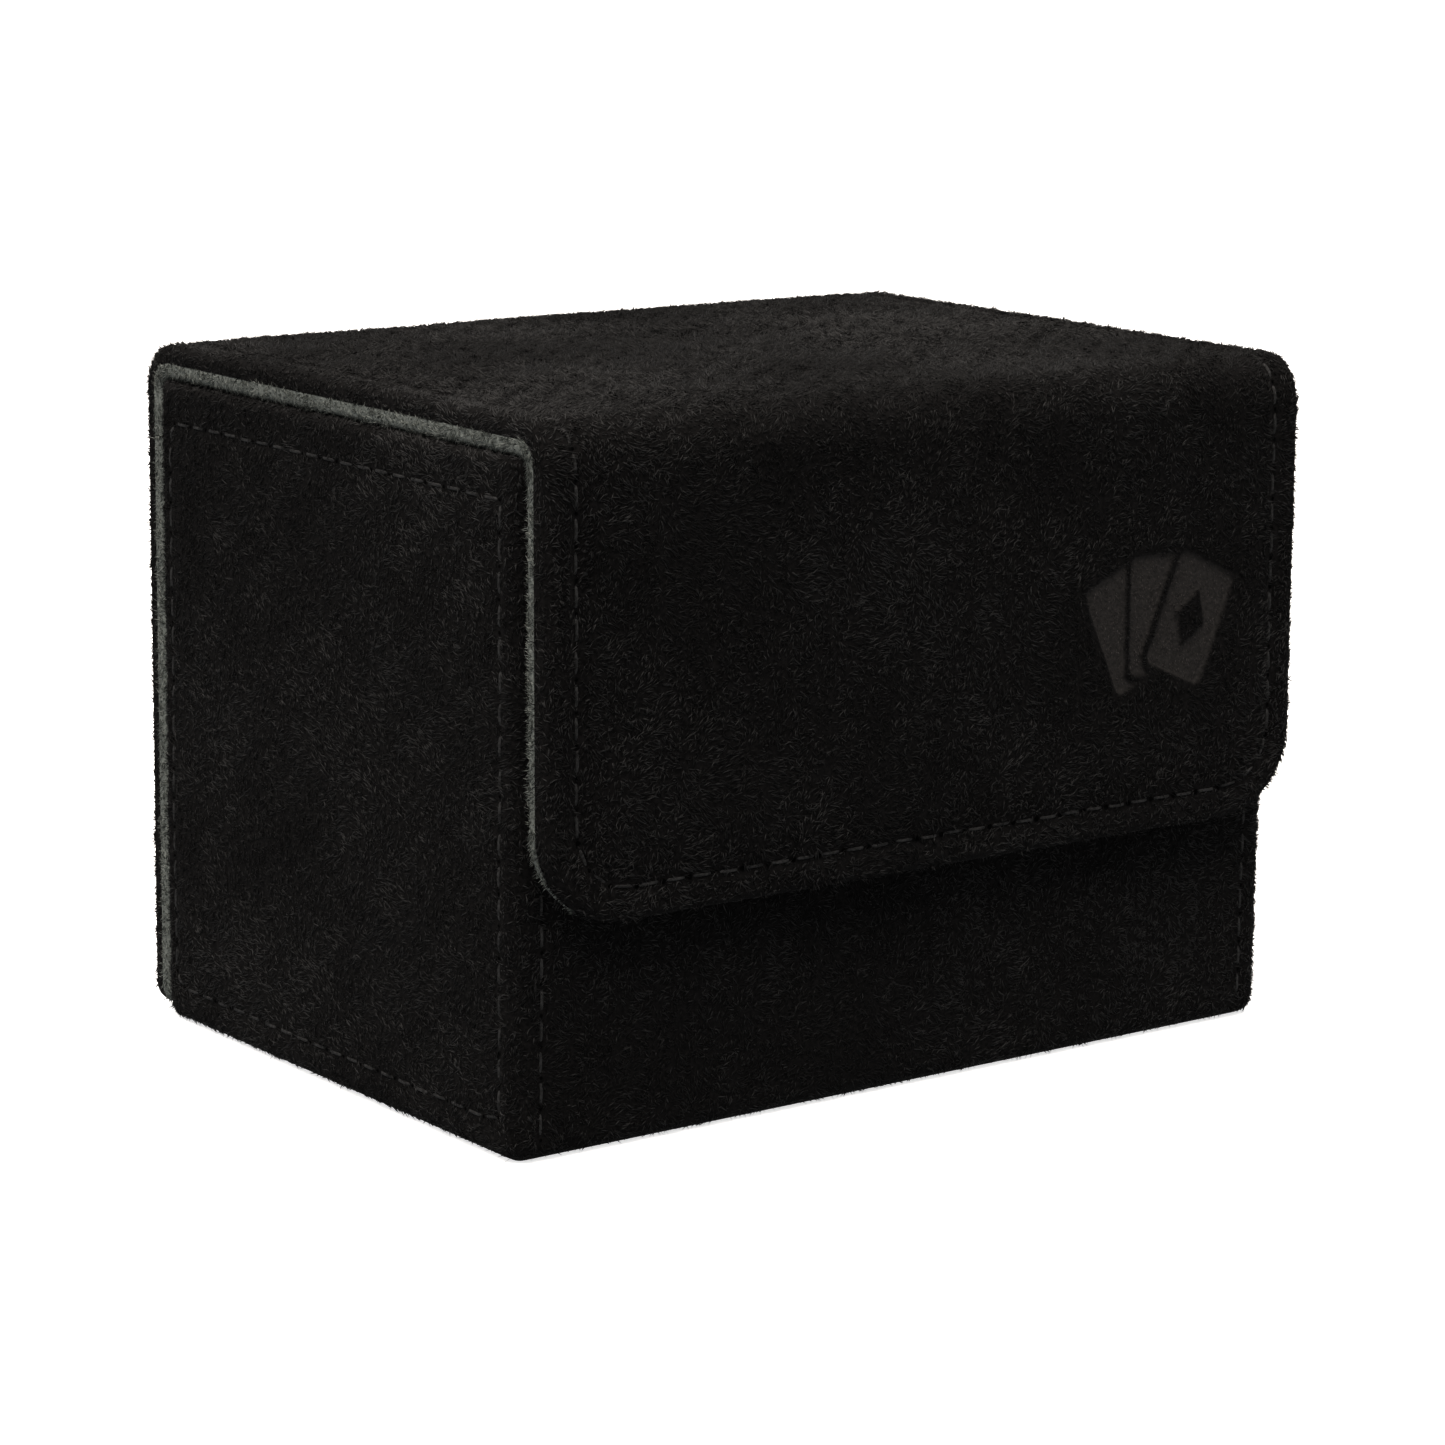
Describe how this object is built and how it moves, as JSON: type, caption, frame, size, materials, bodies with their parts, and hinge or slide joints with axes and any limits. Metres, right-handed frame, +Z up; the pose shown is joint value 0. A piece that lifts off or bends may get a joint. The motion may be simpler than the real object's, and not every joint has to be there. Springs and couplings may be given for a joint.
{
  "type": "card deck box",
  "caption": "Stiff sewn suede box for a deck of trading cards, with a hinged lid and a front flap that closes over the front wall.",
  "frame": {"origin": "middle of the footprint, on the surface that the box stands on", "axes": "+X across the width to the right as seen from the front, the front flap faces -Y, +Z up"},
  "size_m": [0.1076, 0.0824, 0.079],
  "materials": {
    "black_suede": "short-pile microfibre suede, brushed, very matt with a faint sheen",
    "grey_lining": "thin grey microfibre lining, matt",
    "board": "grey stiffening board, hidden between the sheets",
    "thread": "black polyester sewing thread",
    "magnet": "nickel-plated closure discs, hidden in the boards"
  },
  "bodies": {
    "box": {"base_suede": "black_suede", "front_suede": "black_suede", "left_suede": "black_suede", "right_suede": "black_suede", "front_board": "board", "left_board": "board", "right_board": "board", "rear_board": "board", "floor_board": "board", "front_lining": "grey_lining", "left_lining": "grey_lining", "right_lining": "grey_lining", "rear_lining": "grey_lining", "floor_lining": "grey_lining", "wall_magnet_left": "magnet", "wall_magnet_right": "magnet", "left_side_stitching": "thread", "right_side_stitching": "thread", "front_stitching_left": "thread", "front_stitching_right": "thread", "cover_back_suede": "black_suede", "cover_back_board": "board", "cover_back_lining": "grey_lining", "cover_back_stitching": "thread", "rear_fold_suede": "black_suede", "rear_fold_lining": "grey_lining"},
    "lid": {"lid_suede": "black_suede", "lid_board": "board", "lid_lining": "grey_lining", "lid_stitching_left": "thread", "lid_stitching_right": "thread", "front_fold_suede": "black_suede", "front_fold_lining": "grey_lining"},
    "flap": {"flap_suede": "black_suede", "flap_board": "board", "flap_lining": "grey_lining", "flap_magnet_left": "magnet", "flap_magnet_right": "magnet", "flap_stitching": "thread"}
  },
  "joints": [
    {"name": "lid_hinge", "type": "hinge", "parent": "box", "child": "lid", "pos_m": [0, 0.03915, 0.0769], "axis": [-1, 0, 0], "range_deg": [0, 175], "deforming": ["rear_fold_suede", "rear_fold_lining"]},
    {"name": "flap_fold", "type": "hinge", "parent": "lid", "child": "flap", "pos_m": [0, -0.03765, 0.0754], "axis": [-1, 0, 0], "range_deg": [0, 90], "deforming": ["front_fold_suede", "front_fold_lining"]}
  ]
}
